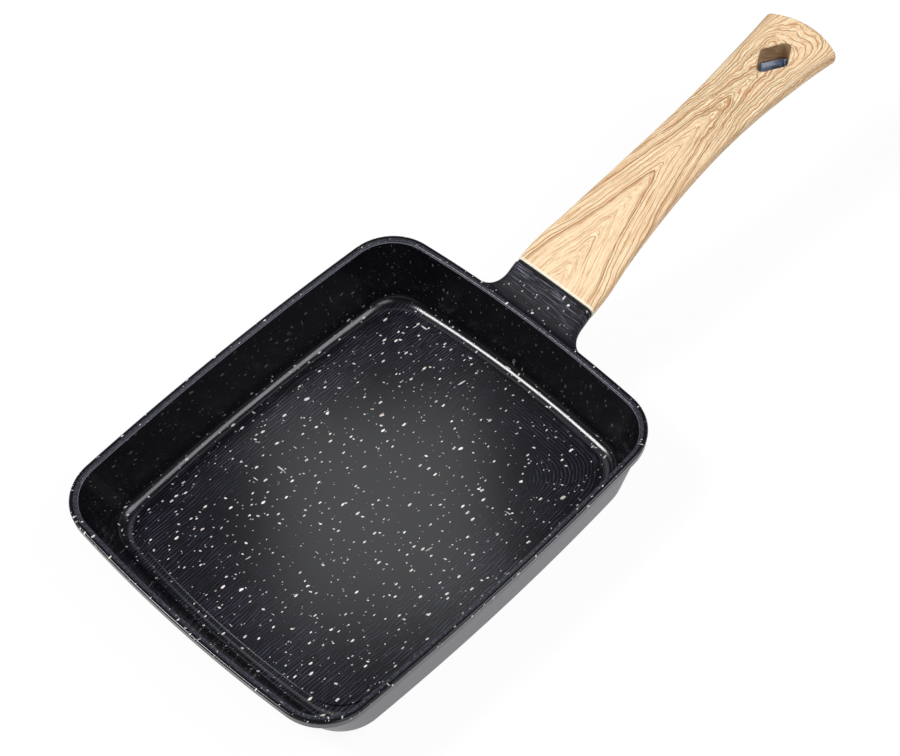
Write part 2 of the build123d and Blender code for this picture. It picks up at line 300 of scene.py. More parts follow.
lengths = np.concatenate([[0], np.cumsum(np.hypot(*np.diff(profile[:, :2], axis=0).T))])
rim_edge_row = np.argmax(profile[:, 1] > pan_height - rim_outer_edge / 2)
from_rim = lengths - lengths[rim_edge_row]
print(f"profile of {len(profile)} points, {lengths[-1] / MM:.0f} mm long")

# %% [markdown]
# ## The vessel
# The profile is carried round the outline: one closed row for each profile point. Two
# more sets of rows finish it. Under the base lies a shallow recess for the steel plate,
# and on top the floor panel shrinks to its middle.
#
# Two UV maps go with it. `laid_flat` is the inside unrolled on a table: the floor keeps
# its own place, and the walls are folded out from its edge, so specks keep their size.
# `around` holds the way along the rim and the distance from the rim's edge.

# %% Build the vessel
plate_low, plate_high = (np.array(corner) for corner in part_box("induction_plate"))
plate_clearance, plate_corner_radius, plate_bow = 0.1 * MM, 16 * MM, 0.001 * MM
base_middle = np.array([0, front_base_lean / 2])


def lift(line, height):
    """A line of flat points at one height."""
    return np.column_stack([line, np.full(len(line), height)])


def shrink(row, middle, shares):
    """Copies of a flat row, drawn in to a middle point by the given shares of its size."""
    centre = np.array([*middle, row[0, 2]])
    return centre + (row - centre) * np.asarray(shares)[:, None, None]


wall_rows, laid_rows = [], []
floor_line, floor_outward = pan_outline(floor_inset, floor_corner_radius, front_floor_lean)
floor_row = np.argmin(np.abs(profile[:, 0] - floor_inset) + np.abs(profile[:, 1] - floor_thickness))
for (inset, height, radius, lean), beyond in zip(profile, lengths[floor_row] - lengths):
    line, _ = pan_outline(inset, radius, lean)
    wall_rows.append(lift(line, height))
    laid_rows.append(line if beyond <= 0 else floor_line + floor_outward * beyond)

plate_outline, _ = outline(
    plate_high[0] + plate_clearance, plate_low[1] - plate_clearance, plate_high[1] + plate_clearance,
    plate_corner_radius + plate_clearance, plate_bow, plate_bow, base_middle[1],
)
recess_top = lift(plate_outline, plate_high[2])
underside = np.concatenate([
    shrink(recess_top, base_middle, [0, 0.25, 0.5, 0.75, 0.99]),
    recess_top[None],
    lift(plate_outline, 0)[None],
    shrink(lift(plate_outline, 0), base_middle, [1.002]),
])
panel_middle = np.array([0, front_floor_lean / 2])
panel = shrink(wall_rows[-1], panel_middle, np.linspace(0.96, 0, 16))
rows = np.concatenate([underside, wall_rows, panel])

rim_steps = np.hypot(*np.diff(rim_line, axis=0).T)
along_rim = np.concatenate([[0], np.cumsum(rim_steps)])
down = np.concatenate([
    np.full(len(underside), from_rim[0]),
    from_rim,
    from_rim[-1] + np.linspace(0.04, 1, len(panel)) * rim_width / 2,
])
around = np.stack(np.meshgrid(along_rim, down), axis=-1)
laid_below = np.repeat(laid_rows[:1], len(underside), axis=0)
laid_flat = np.concatenate([laid_below, laid_rows, panel[..., :2]])

vessel_skin = Skin()
vessel_skin.add(rows, laid_flat=laid_flat, around=around)

# %% [markdown]
# The plate is held by rows of short pegs of the casting, which fill its holes. One peg is
# a ring of twenty points on the plate's hole pattern, carried down from the recess. All
# pegs are copies of one unit peg. Their bare metal is told from the coating by a place in
# the map `around` that is far below the rim's edge.

# %% Add the pegs under the base
peg_radius, peg_pitch, peg_margin, peg_sides = 2.5 * MM, 12 * MM, 7.5 * MM, 20
plate_size = plate_high - plate_low
peg_counts = ((plate_size[:2] - 2 * peg_margin) / peg_pitch).astype(int) + 1
peg_x, peg_y = ((np.arange(count) - (count - 1) / 2) * peg_pitch for count in peg_counts)
peg_turns = np.linspace(0, math.tau, peg_sides + 1)
peg_rows = np.array([(0, 1), (1, 1), (1, 0), (0, 0)])  # share of the radius, share of the height
unit_peg = np.stack([
    peg_rows[:, :1] * np.cos(peg_turns) * peg_radius,
    peg_rows[:, :1] * np.sin(peg_turns) * peg_radius,
    np.broadcast_to(peg_rows[:, 1:] * (plate_high[2] + plate_clearance), (4, peg_sides + 1)),
], axis=-1)
under_base = np.array([0, -200 * MM])
for x in peg_x:
    for y in peg_y:
        place = np.array([x, y + base_middle[1], 0])
        vessel_skin.add(unit_peg + place, laid_flat=laid_flat[0, 0], around=under_base)
print(f"{len(peg_x) * len(peg_y)} pegs")
vessel = vessel_skin.make("cast_vessel", "pan_body")

# %% [markdown]
# ## Sections of neck and handle
# The neck and the handle share one kind of upright section: a low crown on top, rounded
# shoulders, short straight sides and a keel like the bottom of a boat. The keel is a
# Bezier curve, so its width and depth are worked out once, as shares, and then scaled at
# every place along the arm.

# %% The grip's section
edge_radius, side_band = 2 * MM, 2.4 * MM
keel_side_share, keel_bottom_share = 0.3, 0.5
t = np.linspace(0, 1, 200)
bezier_weights = np.array([(1 - t) ** 3, 3 * (1 - t) ** 2 * t, 3 * (1 - t) * t**2, t**3])
keel_width_table = np.array([1, 1, keel_bottom_share, 0]) @ bezier_weights
keel_drop_table = np.array([0, keel_side_share, 1, 1]) @ bezier_weights


def keel_drop(width_share):
    """How deep the keel hangs, as a share of its depth, at a share of the half width.

    Both shares come from one cubic Bezier curve, read from a table along its parameter."""
    return np.interp(-np.abs(width_share), -keel_width_table, keel_drop_table)


def keel_height(x, half, top, depth):
    """Height of the underside at x: the shoulder, less the keel's depth times its drop there."""
    return top - side_band - (depth - side_band) * keel_drop(x / half)


def crown_height(x, half, top, crown):
    """Height of the top at x: a parabola that rises by crown in the middle."""
    return top + crown * (1 - (x / (half - edge_radius)) ** 2)


# Across the keel the columns are even at first, and close up towards its edge.
top_shares = np.linspace(-1, 1, 21)
keel_shares = np.concatenate([np.linspace(0, 0.6, 7), 1 - 0.4 * np.linspace(1, 0, 11)[1:] ** 2])
shoulder_turns = np.linspace(0, math.pi / 2, 6)[:-1]
side_levels = np.array([0, 0.5])
side_out = np.concatenate([edge_radius + 0 * side_levels, edge_radius * np.cos(shoulder_turns)])
side_rise = np.concatenate([
    (side_band - edge_radius) * side_levels - side_band,
    edge_radius * (np.sin(shoulder_turns) - 1),
])
upper_share = np.concatenate([-np.ones(len(side_out)), top_shares, np.ones(len(side_out))])
upper_out = np.concatenate([-side_out, 0 * top_shares, side_out[::-1]])
upper_rise = np.concatenate([side_rise, 0 * top_shares, side_rise[::-1]])


def upper_half(half, top, crown):
    """Left side, left shoulder, top, right shoulder and right side of a section: x and z.

    Each column is a share of the flat top's half width, plus its own step out and up."""
    x = upper_share * (half - edge_radius) + upper_out
    return x, top + crown * (1 - upper_share**2) + upper_rise


def keel_side(half, top, depth, sign):
    """Underside from the middle out to one side: x and z, one row for each station."""
    x = sign * half * keel_shares
    return x, keel_height(x, half, top, depth)


print(f"a section has {len(upper_share) + 2 * len(keel_shares) - 3} points")

# %% [markdown]
# ## The handle's curves
# From above, the handle starts as wide as the neck, narrows to a waist and flares to its
# tail. From the side, it rises steeply and levels out. The widths are a few shares, with
# a smooth curve through them, and the rise is a power law.

# %% Width, height and depth along the handle
front_width, waist_width, tail_width = 38.1 * MM, 25.6 * MM, 34.6 * MM
front_top, handle_rise, rise_power = 38 * MM, 24.2 * MM, 2.25
front_depth, tail_depth = 18.5 * MM, 14.5 * MM
front_crown, tail_crown = 0.3 * MM, 0.8 * MM
waist = 0.57
width_places = np.array([0, 0.06, 0.14, 0.25, 0.36, 0.47, waist, 0.68, 0.79, 0.9, 0.965, 1.06])
over_waist = np.array([1, 0.97, 0.69, 0.41, 0.19, 0.05, 0, 0.1, 0.38, 0.72, 1, 1.45])
flares = np.where(width_places < waist, front_width - waist_width, tail_width - waist_width)
width_values = waist_width + over_waist * flares


def through(places, values, at):
    """Smooth curve through given values.

    Between two places it is a cubic whose slope at each is the local slope of the values."""
    slopes = np.gradient(values, places)
    k = np.clip(np.searchsorted(places, at) - 1, 0, len(places) - 2)
    span = places[k + 1] - places[k]
    t = (at - places[k]) / span
    rise = values[k] * (1 + 2 * t) * (1 - t) ** 2 + values[k + 1] * t**2 * (3 - 2 * t)
    return rise + span * (slopes[k] * t * (1 - t) ** 2 - slopes[k + 1] * t**2 * (1 - t))


def handle_at(y):
    """Half width, top height, depth and crown of the handle at y."""
    share = (y - handle_front) / handle_length
    half = through(width_places, width_values, share) / 2
    top = front_top + handle_rise * (1 - np.maximum(0, 1 - share) ** rise_power)
    depth = front_depth + (tail_depth - front_depth) * share
    return half, top, depth, front_crown + (tail_crown - front_crown) * share


for y in (handle_front, (handle_front + handle_tail) / 2, handle_tail):
    half, top, depth, _ = handle_at(y)
    print(f"at {y / MM:.0f} mm: {2 * half / MM:.1f} wide, top at {top / MM:.1f}, {depth / MM:.1f} deep")

# %% [markdown]
# ## The handle's surface
# A hole through a grid is often cut with a Boolean, which leaves long thin faces round it
# and spoils the shading. Here a window of whole faces is left out instead, and a collar
# of rings runs from the window's border to the hole's outline. The hanging hole has such
# a window in the top and one in the keel, joined by its wall, and the screw's recess has
# one in the keel.
#
# The UV map `grain` holds the way across the surface, in half widths from the top's
# middle line, and the way along it in metres. The wood print follows both.

# %% Rows along the handle
hole_reach = np.array([6.7, 11.4]) * MM
hole_corner, hole_from_tail, hole_rim = 2.2 * MM, 21.8 * MM, 0.9 * MM
hole_middle = handle_tail - hole_from_tail
front_edge, tail_edge, tail_arc_height = 0.6 * MM, 1 * MM, 4.6 * MM
window_reach = 14 * MM
tail_half = tail_width / 2
tail_radius = (tail_half**2 + tail_arc_height**2) / (2 * tail_arc_height)

tang_tilt, recess_radius = math.radians(17), 5.5 * MM
recess_window = np.array([110.5, 127.5]) * MM
straight_end = hole_middle + window_reach
row_places = np.concatenate([
    [handle_front + front_edge],
    np.linspace(handle_front + 1.5 * MM, recess_window[0], 5)[:-1],
    np.linspace(*recess_window, 11)[:-1],
    np.linspace(recess_window[1], hole_middle - window_reach, 46)[:-1],
    np.linspace(hole_middle - window_reach, straight_end, 17),
    np.linspace(straight_end, handle_tail - tail_edge, 9)[1:],
])
print(f"{len(row_places)} rows along the handle")


def tail_sag(x):
    """How far the tail's arc has fallen back at x: its radius less the circle's height there."""
    return tail_radius - np.sqrt(tail_radius**2 - x**2)


def handle_rows(across_of, places):
    """Points of a family of columns: across_of gives x and z from the section at each point.

    Past the windows the rows bend to follow the tail's arc. The bend depends on x and x on
    the bend, so both are worked out a few times over, for all points at once."""
    bend = np.clip((places - straight_end) / (handle_tail - tail_edge - straight_end), 0, 1)[:, None]
    y = places[:, None] + 0 * bend
    for _ in range(6):
        x, z = across_of(*handle_at(y))
        y = places[:, None] - bend * tail_sag(x)
    return np.stack([x, y, z], axis=-1)


def arc_lengths(points):
    """Length along each row of points, from its first point."""
    steps = np.linalg.norm(np.diff(points[..., [0, 2]], axis=1), axis=-1)
    return np.concatenate([np.zeros((len(points), 1)), np.cumsum(steps, axis=1)], axis=1)


upper = handle_rows(lambda half, top, depth, crown: upper_half(half, top, crown), row_places)
keels = {
    sign: handle_rows(lambda half, top, depth, crown: keel_side(half, top, depth, sign), row_places)
    for sign in (-1, 1)
}
print("upper grid", upper.shape, "keel grid", keels[1].shape)

# %% [markdown]
# The wood print's across coordinate is a length along the section divided by the half
# width. On the top it is nearly x over the half width. Round the side it goes on growing,
# and it is largest at the middle of the keel.

# %% The grain's flat coordinates
def grain_at(across, points):
    """Grain coordinates: the given way across, and the distance from the handle's front."""
    return np.stack([across, points[..., 1] - handle_front], axis=-1)


half_widths = handle_at(row_places)[0][:, None]
upper_across = arc_lengths(upper)
upper_across = (upper_across - upper_across[:, -1:] / 2) / half_widths
keel_lengths = arc_lengths(keels[1])
girth = upper_across[:, -1:] + keel_lengths[:, -1:] / half_widths
keel_across = girth - keel_lengths / half_widths
grain_upper = grain_at(upper_across, upper)
grain_keels = {sign: grain_at(sign * keel_across, keels[sign]) for sign in (-1, 1)}


def grain_below(points):
    """Grain coordinates on the underside, from x and y alone, which is enough near its middle."""
    around_keel = np.interp(points[..., 1], row_places, girth[:, 0])
    half = handle_at(points[..., 1])[0]
    sign = np.where(points[..., 0] < 0, -1, 1)
    return grain_at(sign * (around_keel - np.abs(points[..., 0]) / half), points)


def grain_above(points):
    """Grain coordinates on the top: x over the half width, and the distance from the front."""
    return grain_at(points[..., 0] / handle_at(points[..., 1])[0], points)


print(f"the grain is {2 * girth.min():.2f} to {2 * girth.max():.2f} half widths round")

# %% [markdown]
# ## Windows, collars and the hanging hole
# The hole's outline is a diamond with round corners. Seen from its middle, its reach in
# any direction is that of a straight side, or near a corner that of the corner's arc.
# Growing the outline by a margin moves the sides out and makes the corners rounder.

# %% Outline of the hanging hole
def hole_outline(angles, margin=0.0):
    """Points of the rounded diamond in the given directions, margin outside its own outline.

    A side is a line at a fixed distance, so its reach is that distance over the cosine
    from its normal. A corner is a circle on an axis, so its reach is the far crossing of
    the ray with the circle."""
    span = math.hypot(*hole_reach)
    distance = hole_reach[0] * hole_reach[1] / span + margin
    normal = math.atan2(hole_reach[0], hole_reach[1])
    folded = np.arctan2(np.abs(np.sin(angles)), np.abs(np.cos(angles)))
    reach = distance / np.cos(folded - normal)
    for axis, slope in ((0, hole_reach[1] / span), (1, hole_reach[0] / span)):
        from_middle = hole_reach[axis] - hole_corner / slope
        from_axis = folded if axis == 0 else math.pi / 2 - folded
        radius = hole_corner + margin
        tangent = math.atan2(radius * math.sqrt(1 - slope**2), from_middle + radius * slope)
        crossing = from_middle * np.cos(from_axis) + np.sqrt(
            np.maximum(0, radius**2 - (from_middle * np.sin(from_axis)) ** 2)
        )
        reach = np.where(from_axis < tangent, crossing, reach)
    return np.stack([reach * np.cos(angles), hole_middle + reach * np.sin(angles)], axis=-1)


def rows_between(low, high):
    """Places of the handle's rows from low to high, both included."""
    return row_places[(row_places > low - 0.1 * MM) & (row_places < high + 0.1 * MM)]


def window_border(margin, shares, places):
    """Closed border of a window, anticlockwise: front edge, right edge, back edge, left edge.

    Each x is a share of the handle's half width less a margin."""
    front = [(share, places[0]) for share in shares[:-1]]
    right_edge = [(shares[-1], place) for place in places[:-1]]
    rear = [(share, places[-1]) for share in shares[:0:-1]]
    left_edge = [(shares[0], place) for place in places[::-1]]
    border = np.array(front + right_edge + rear + left_edge)
    half = handle_at(border[:, 1])[0]
    return np.stack([border[:, 0] * (half - margin), border[:, 1]], axis=-1)


def between(outer, inner, count):
    """Rings from an outer closed line to an inner one, evenly spaced, both included."""
    return outer + (inner - outer) * np.linspace(0, 1, count)[:, None, None]


def with_height(rings, height_of):
    """Flat rings lifted to a surface."""
    return np.concatenate([rings, height_of(rings[..., 0], rings[..., 1])[..., None]], axis=-1)


def top_surface(x, y):
    half, top, _, crown = handle_at(y)
    return crown_height(x, half, top, crown)


def keel_surface(x, y):
    half, top, depth, _ = handle_at(y)
    return keel_height(x, half, top, depth)


window_shares = top_shares[4:-4]
window_places = rows_between(hole_middle - window_reach, straight_end)
top_border = window_border(edge_radius, window_shares, window_places)
low_shares = np.concatenate([-keel_shares[6:0:-1], keel_shares[:7]])
low_border = window_border(0, low_shares, window_places)
directions = np.arctan2(top_border[:, 1] - hole_middle, top_border[:, 0])
print(f"the hole's rings have {len(top_border)} and {len(low_border)} points")

# %% [markdown]
# The rim of the hole is rounded, above and below. A quarter circle turns from the flat
# collar to the upright wall: it starts one radius outside the outline and at the
# surface's height, and ends on the outline one radius further in. Both windows have the
# same number of border points, so the same directions serve above and below.

# %% Collars, rims and wall of the hole
rim_start = hole_outline(directions, hole_rim)
wall_mark = 3


def hole_rim_rings(height_of, sign):
    """Rings of the rounded rim.

    Each lies outside the outline by radius less radius times the sine of its turn, and
    inside the surface by radius less radius times the cosine."""
    rings = []
    for turn in np.linspace(0, math.pi / 2, 5):
        flat = hole_outline(directions, hole_rim * (1 - math.sin(turn)))
        height = height_of(*rim_start.T) - sign * hole_rim * (1 - math.cos(turn))
        rings.append(np.column_stack([flat, height]))
    return np.array(rings)


collar_above = with_height(between(top_border, rim_start, 7), top_surface)
collar_below = with_height(between(low_border, rim_start, 7), keel_surface)
rim_above = hole_rim_rings(top_surface, 1)
rim_below = hole_rim_rings(keel_surface, -1)
hole_wall = between(rim_above[-1], rim_below[-1], 6)
wall_across = wall_mark + hole_wall[..., 0] / tail_half / 4

handle_skin = Skin()
handle_skin.add(collar_above, grain=grain_above(collar_above))
handle_skin.add(rim_above, grain=grain_above(rim_above))
handle_skin.add(hole_wall, grain=np.stack([wall_across, hole_wall[..., 2]], axis=-1))
handle_skin.add(rim_below, grain=grain_below(rim_below))
handle_skin.add(collar_below, grain=grain_below(collar_below))
print(f"the hole is {np.ptp(hole_outline(directions)[:, 1]) / MM:.1f} mm long")

# %% [markdown]
# The screw sits in a round recess in the underside, square to the tang, which tilts with
# the handle's first slope. Its wall is a cylinder. Where the cylinder meets the keel
# depends on the keel's height there, so a few rounds of correction find the border. The
# tilt moves the mouth of the recess a little towards the tail.

# %% The screw's recess
screw_axis = np.array([0, -math.sin(tang_tilt), math.cos(tang_tilt)])
screw_forward = np.array([0, math.cos(tang_tilt), math.sin(tang_tilt)])
tang_axis_drop, screw_position = 6.2 * MM, 15 * MM
tang_height, socket_clearance, seat_wall = 6 * MM, 0.3 * MM, 1.8 * MM
screw_origin = np.array([0, neck_end, front_top - tang_axis_drop]) + screw_forward * screw_position
seat_origin = screw_origin - screw_axis * (tang_height / 2 + socket_clearance + seat_wall)

recess_places = rows_between(*recess_window)
recess_shares = np.concatenate([-keel_shares[5:0:-1], keel_shares[:6]])
recess_border = window_border(0, recess_shares, recess_places)
mouth_shift = 0.8 * MM
recess_turns = np.arctan2(recess_border[:, 1] - screw_origin[1] - mouth_shift, recess_border[:, 0])
ring = recess_radius * np.cos(recess_turns)[:, None] * np.array([1, 0, 0])
ring = ring + recess_radius * np.sin(recess_turns)[:, None] * screw_forward
mouth = seat_origin + ring
for _ in range(8):
    gap = keel_surface(mouth[:, 0], mouth[:, 1]) - mouth[:, 2]
    mouth = mouth + gap[:, None] / screw_axis[2] * screw_axis
collar = with_height(between(recess_border, mouth[:, :2], 5), keel_surface)
seat_ring = seat_origin + ring
recess_wall = between(mouth, seat_ring, 4)
recess_seat = between(seat_ring, np.broadcast_to(seat_origin, seat_ring.shape), 3)
for grid in (collar, recess_wall, recess_seat):
    handle_skin.add(grid, grain=grain_below(grid))
print(f"the recess is {np.linalg.norm(mouth - seat_ring, axis=1).max() / MM:.1f} mm deep at most")

# %% [markdown]
# Now the main grids. A mask leaves the windows' faces out of them. A face lies between two
# columns and two rows, so the mask tests the middle of each face against the window.

# %% Main grids and ends of the handle
def outside_window(column_centres, shares, places):
    """Mask of faces: False where a face's middle lies inside the window."""
    row_centres = (row_places[1:] + row_places[:-1]) / 2
    in_rows = (row_centres > places[0]) & (row_centres < places[-1])
    in_columns = (column_centres > shares[0]) & (column_centres < shares[-1])
    return ~(in_rows[:, None] & in_columns[None, :])


upper_places = upper_share + 10 * upper_out
upper_keep = outside_window((upper_places[1:] + upper_places[:-1]) / 2, window_shares, window_places)
keel_centres = (keel_shares[1:] + keel_shares[:-1]) / 2
keel_keep = outside_window(keel_centres, low_shares, window_places)
keel_keep &= outside_window(keel_centres, recess_shares, recess_places)
handle_skin.add(upper, keep=upper_keep, grain=grain_upper)
for sign in (-1, 1):
    handle_skin.add(keels[sign], keep=keel_keep, grain=grain_keels[sign])


def closed_loop(row):
    """The whole section at one row: keel out to the left, over the top, and back along the keel."""
    parts = [keels[-1][row], upper[row][1:-1], keels[1][row][::-1]]
    flats = [grain_keels[-1][row], grain_upper[row][1:-1], grain_keels[1][row][::-1]]
    return np.vstack(parts), np.vstack(flats)


face_reach = 8 * MM


def end_cap(loop, flat, radius, y_of, sign):
    """Rounded edge and flat face that close the grip at one end.

    Each ring of the edge is the loop drawn in by radius less radius times the cosine and
    moved out by radius times the sine. The face is the last ring shrunk to its middle, and
    its pattern runs on by face_reach."""
    flat_loop = loop[:, [0, 2]]
    tangent = np.roll(flat_loop[:-1], -1, axis=0) - np.roll(flat_loop[:-1], 1, axis=0)
    inward = np.column_stack([tangent[:, 1], -tangent[:, 0]]) / np.linalg.norm(tangent, axis=1)[:, None]
    inward = np.vstack([inward, inward[:1]])
    rings, flats = [], []
    for turn in np.linspace(0, math.pi / 2, 6):
        drawn = flat_loop + inward * radius * (1 - math.cos(turn))
        y = y_of(drawn[:, 0]) + sign * radius * (math.sin(turn) - 1)
        rings.append(np.column_stack([drawn[:, 0], y, drawn[:, 1]]))
        flats.append(flat + np.array([0, sign * radius * turn]))
    middle = np.array([0, flat_loop[:, 1].mean()])
    for share in (0.97, 0.75, 0.5, 0.25, 0):
        drawn = middle + (rings[5][:, [0, 2]] - middle) * share
        rings.append(np.column_stack([drawn[:, 0], y_of(drawn[:, 0]), drawn[:, 1]]))
        flats.append(flats[5] + np.array([0, sign * (1 - share) * face_reach]))
    return np.array(rings), np.array(flats)


front_loop, front_flat = closed_loop(0)
tail_loop, tail_flat = closed_loop(-1)
rings, flats = end_cap(front_loop, front_flat, front_edge, lambda x: handle_front + 0 * x, -1)
handle_skin.add(rings, grain=flats)
rings, flats = end_cap(tail_loop, tail_flat, tail_edge, lambda x: handle_tail - tail_sag(x), 1)
handle_skin.add(rings, grain=flats)
handle = handle_skin.make("oak_print_handle", "handle", sharp_angle=50)

# %% [markdown]
# ## The neck
# The neck is cast in one with the vessel. Its section is the handle's, lofted from the
# handle's height down to the rim, and it flares by a quarter arc on each side to meet the
# wall. The wall leans and bows, so the last row takes its place from the wall's own
# profile and ends a millimetre inside it. The other end has a small round edge before the
# seal. The tang that carries the handle is hidden inside it, so it isn't drawn.

# %% Build the neck
neck_length = neck_end - rim_length / 2
neck_flare, neck_root_depth, neck_top_power = 8.5 * MM, 20.5 * MM, 1.15
neck_root_drop, neck_end_edge, root_overrun, root_bury = 0.05 * MM, 0.5 * MM, 0.6 * MM, 1 * MM
neck_root_top = pan_height - neck_root_drop - front_crown
neck_half = front_width / 2


def back_bow(x):
    """How far the back side has bowed in at x: a parabola that reaches the bow at its corner."""
    return short_side_bow * (x / (rim_width / 2 - long_side_bow)) ** 2


flare_start = neck_length + back_bow(neck_half + neck_flare) - neck_flare
flare_turns = np.linspace(0, math.radians(75), 10)
flare_places = flare_start + neck_flare * np.sin(flare_turns)
neck_places = np.concatenate([
    np.linspace(neck_end_edge, flare_start, 6)[:-1], flare_places, [neck_length + root_overrun],
])
neck_flares = np.interp(neck_places, flare_places, neck_flare * (1 - np.cos(flare_turns)))


def neck_at(distance, flare):
    """Half width, top, depth and crown of the neck at a distance from its end."""
    share = np.minimum(1, distance / neck_length)
    top = neck_root_top + (front_top - neck_root_top) * (1 - share) ** neck_top_power
    depth = front_depth + (neck_root_depth - front_depth) * share
    return neck_half + flare, top, depth, front_crown + 0 * distance


half, top, depth, crown = (part[:, None] for part in neck_at(neck_places, neck_flares))
upper_x, upper_z = upper_half(half, top, crown)
low_x, low_z = keel_side(half, top, depth, 1)
neck_x = np.concatenate([-low_x, upper_x[:, 1:-1], low_x[:, ::-1]], axis=1)
neck_z = np.concatenate([low_z, upper_z[:, 1:-1], low_z[:, ::-1]], axis=1)
neck_y = np.broadcast_to(neck_end - neck_places[:, None], neck_x.shape)
neck_rows = np.stack([neck_x, neck_y, neck_z], axis=-1)

wall_side = slice(np.argmax(profile[:, 1] > 0), rim_edge_row)
root_row = neck_rows[-1].copy()
wall_inset = np.interp(root_row[:, 2], profile[wall_side, 1], profile[wall_side, 0])
root_row[:, 1] = rim_length / 2 - back_bow(root_row[:, 0]) - wall_inset - root_bury
neck_rows = np.concatenate([neck_rows, root_row[None]])
neck_flat = neck_rows[..., :2]
cap_rings, cap_flats = end_cap(neck_rows[0], neck_flat[0], neck_end_edge, lambda x: neck_end + 0 * x, 1)
root_cap = between(root_row, np.broadcast_to(root_row.mean(axis=0), root_row.shape), 3)

neck_skin = Skin()
for grid, flat in ((neck_rows, neck_flat), (cap_rings, cap_flats), (root_cap, root_cap[..., :2])):
    neck_skin.add(grid, laid_flat=flat)
neck = neck_skin.make("cast_neck", "pan_body")

# %% [markdown]
# ## Sums in a shader
# A finish is a tree of small sums. Written as nodes and links each sum takes several
# lines, so one small class stands for a number at every point of the surface. Its
# operators make the maths nodes, and a formula then reads as it would on paper. A second
# class is the finish itself, with one method that makes any node.

# %% A class for sums and one for finishes
class Number:
    """A number at each point of a surface: one socket of a finish's node tree."""

    def __init__(self, finish, socket):
        self.finish, self.socket = finish, socket

    def sum(self, operation, *others):
        inputs = dict(enumerate((self, *others)))
        node = self.finish.node("ShaderNodeMath", {"operation": operation}, inputs)
        return Number(self.finish, node.outputs[0])

    def __add__(self, other): return self.sum("ADD", other)
    def __sub__(self, other): return self.sum("SUBTRACT", other)
    def __mul__(self, other): return self.sum("MULTIPLY", other)
    def __truediv__(self, other): return self.sum("DIVIDE", other)
    def __pow__(self, other): return self.sum("POWER", other)
    def __radd__(self, other): return self + other
    def __rmul__(self, other): return self * other
    def __rsub__(self, other): return self * -1 + other
    def __rtruediv__(self, other): return self ** -1 * other
    def __abs__(self): return self.sum("ABSOLUTE")
    def __lt__(self, other): return self.sum("LESS_THAN", other)
    def __gt__(self, other): return self.sum("GREATER_THAN", other)

    def sine(self): return self.sum("SINE")
    def fraction(self): return self.sum("FRACT")
    def least(self, other): return self.sum("MINIMUM", other)
    def most(self, other): return self.sum("MAXIMUM", other)
    def cut(self, low=0, high=1): return self.most(low).least(high)

    def rise(self, low, high):
        """0 below low, 1 above high, and a smooth step between."""
        inputs = {"Value": self, "From Min": low, "From Max": high, "To Min": 0, "To Max": 1}
        node = self.finish.node("ShaderNodeMapRange", {"interpolation_type": "SMOOTHSTEP"}, inputs)
        return Number(self.finish, node.outputs["Result"])

    def fall(self, low, high):
        """1 below low, 0 above high, and a smooth step between."""
        return 1 - self.rise(low, high)


class Finish:
    """A material whose nodes are made by one method."""

    def __init__(self, name, roughness=0.5, **constants):
        self.material = bpy.data.materials.new(name)
        self.material.use_nodes = True
        self.tree = self.material.node_tree
        self.shader = self.tree.nodes["Principled BSDF"]
        self.feed("Roughness", roughness)
        for socket, value in constants.items():
            self.feed(socket.replace("_", " "), value)

    def node(self, kind, settings, inputs):
        """Makes a node: its settings first, then each input as a constant or a link."""
        node = self.tree.nodes.new(kind)
        for name, value in settings.items():
            setattr(node, name, value)
        for name, value in inputs.items():
            if isinstance(value, Number):
                self.tree.links.new(value.socket, node.inputs[name])
            else:
                node.inputs[name].default_value = value
        return node

    def feed(self, name, value):
        """Sets an input of the shader, to a constant or to a number that varies."""
        if isinstance(value, Number):
            self.tree.links.new(value.socket, self.shader.inputs[name])
        else:
            self.shader.inputs[name].default_value = value

    def split(self, vector):
        node = self.node("ShaderNodeSeparateXYZ", {}, {0: vector})
        return [Number(self, socket) for socket in node.outputs]

    def flat(self, name):
        """The two flat coordinates of a UV map, in millimetres."""
        node = self.node("ShaderNodeUVMap", {"uv_map": name}, {})
        return [part * 1000 for part in self.split(Number(self, node.outputs[0]))[:2]]

    def place(self):
        """The three coordinates of the piece itself, in millimetres."""
        node = self.node("ShaderNodeTexCoord", {}, {})
        return [part * 1000 for part in self.split(Number(self, node.outputs["Object"]))]

    def point(self, x=0.0, y=0.0, z=0.0):
        return Number(self, self.node("ShaderNodeCombineXYZ", {}, {"X": x, "Y": y, "Z": z}).outputs[0])

    def noise(self, x, y, z=0.0, detail=2):
        """Smooth noise from 0 to 1, mostly near a half. Its bumps are about one unit wide."""
        inputs = {"Vector": self.point(x, y, z), "Scale": 1, "Detail": detail}
        return Number(self, self.node("ShaderNodeTexNoise", {}, inputs).outputs[0])

    def cells(self, x, y):
        """Distance to the nearest of scattered points, one in each unit square.

        The point's three random numbers follow."""
        inputs = {"Vector": self.point(x, y), "Scale": 1, "Randomness": 1}
        node = self.node("ShaderNodeTexVoronoi", {"voronoi_dimensions": "2D"}, inputs)
        return Number(self, node.outputs["Distance"]), *self.split(Number(self, node.outputs["Color"]))

    def mix(self, share, one, other):
        """A colour between two others."""
        inputs = {0: share, 6: one, 7: other}
        return Number(self, self.node("ShaderNodeMix", {"data_type": "RGBA"}, inputs).outputs[2])

    def layered(self, ground, *layers):
        """A ground colour under layers, each a share from 0 to 1 and a colour."""
        for share, tint in layers:
            ground = self.mix(share, ground, tint)
        return ground

    def bump(self, height, depth):
        """Relief from a height of 0 to 1, depth in millimetres."""
        inputs = {"Height": height, "Distance": depth * MM, "Strength": 1}
        self.feed("Normal", Number(self, self.node("ShaderNodeBump", {}, inputs).outputs["Normal"]))


def colour(red, green, blue):
    """A colour as it is seen on a screen, from 0 to 255, as the light it stands for."""
    parts = np.array([red, green, blue]) / 255
    return (*np.where(parts <= 0.04045, parts / 12.92, ((parts + 0.055) / 1.055) ** 2.4), 1)


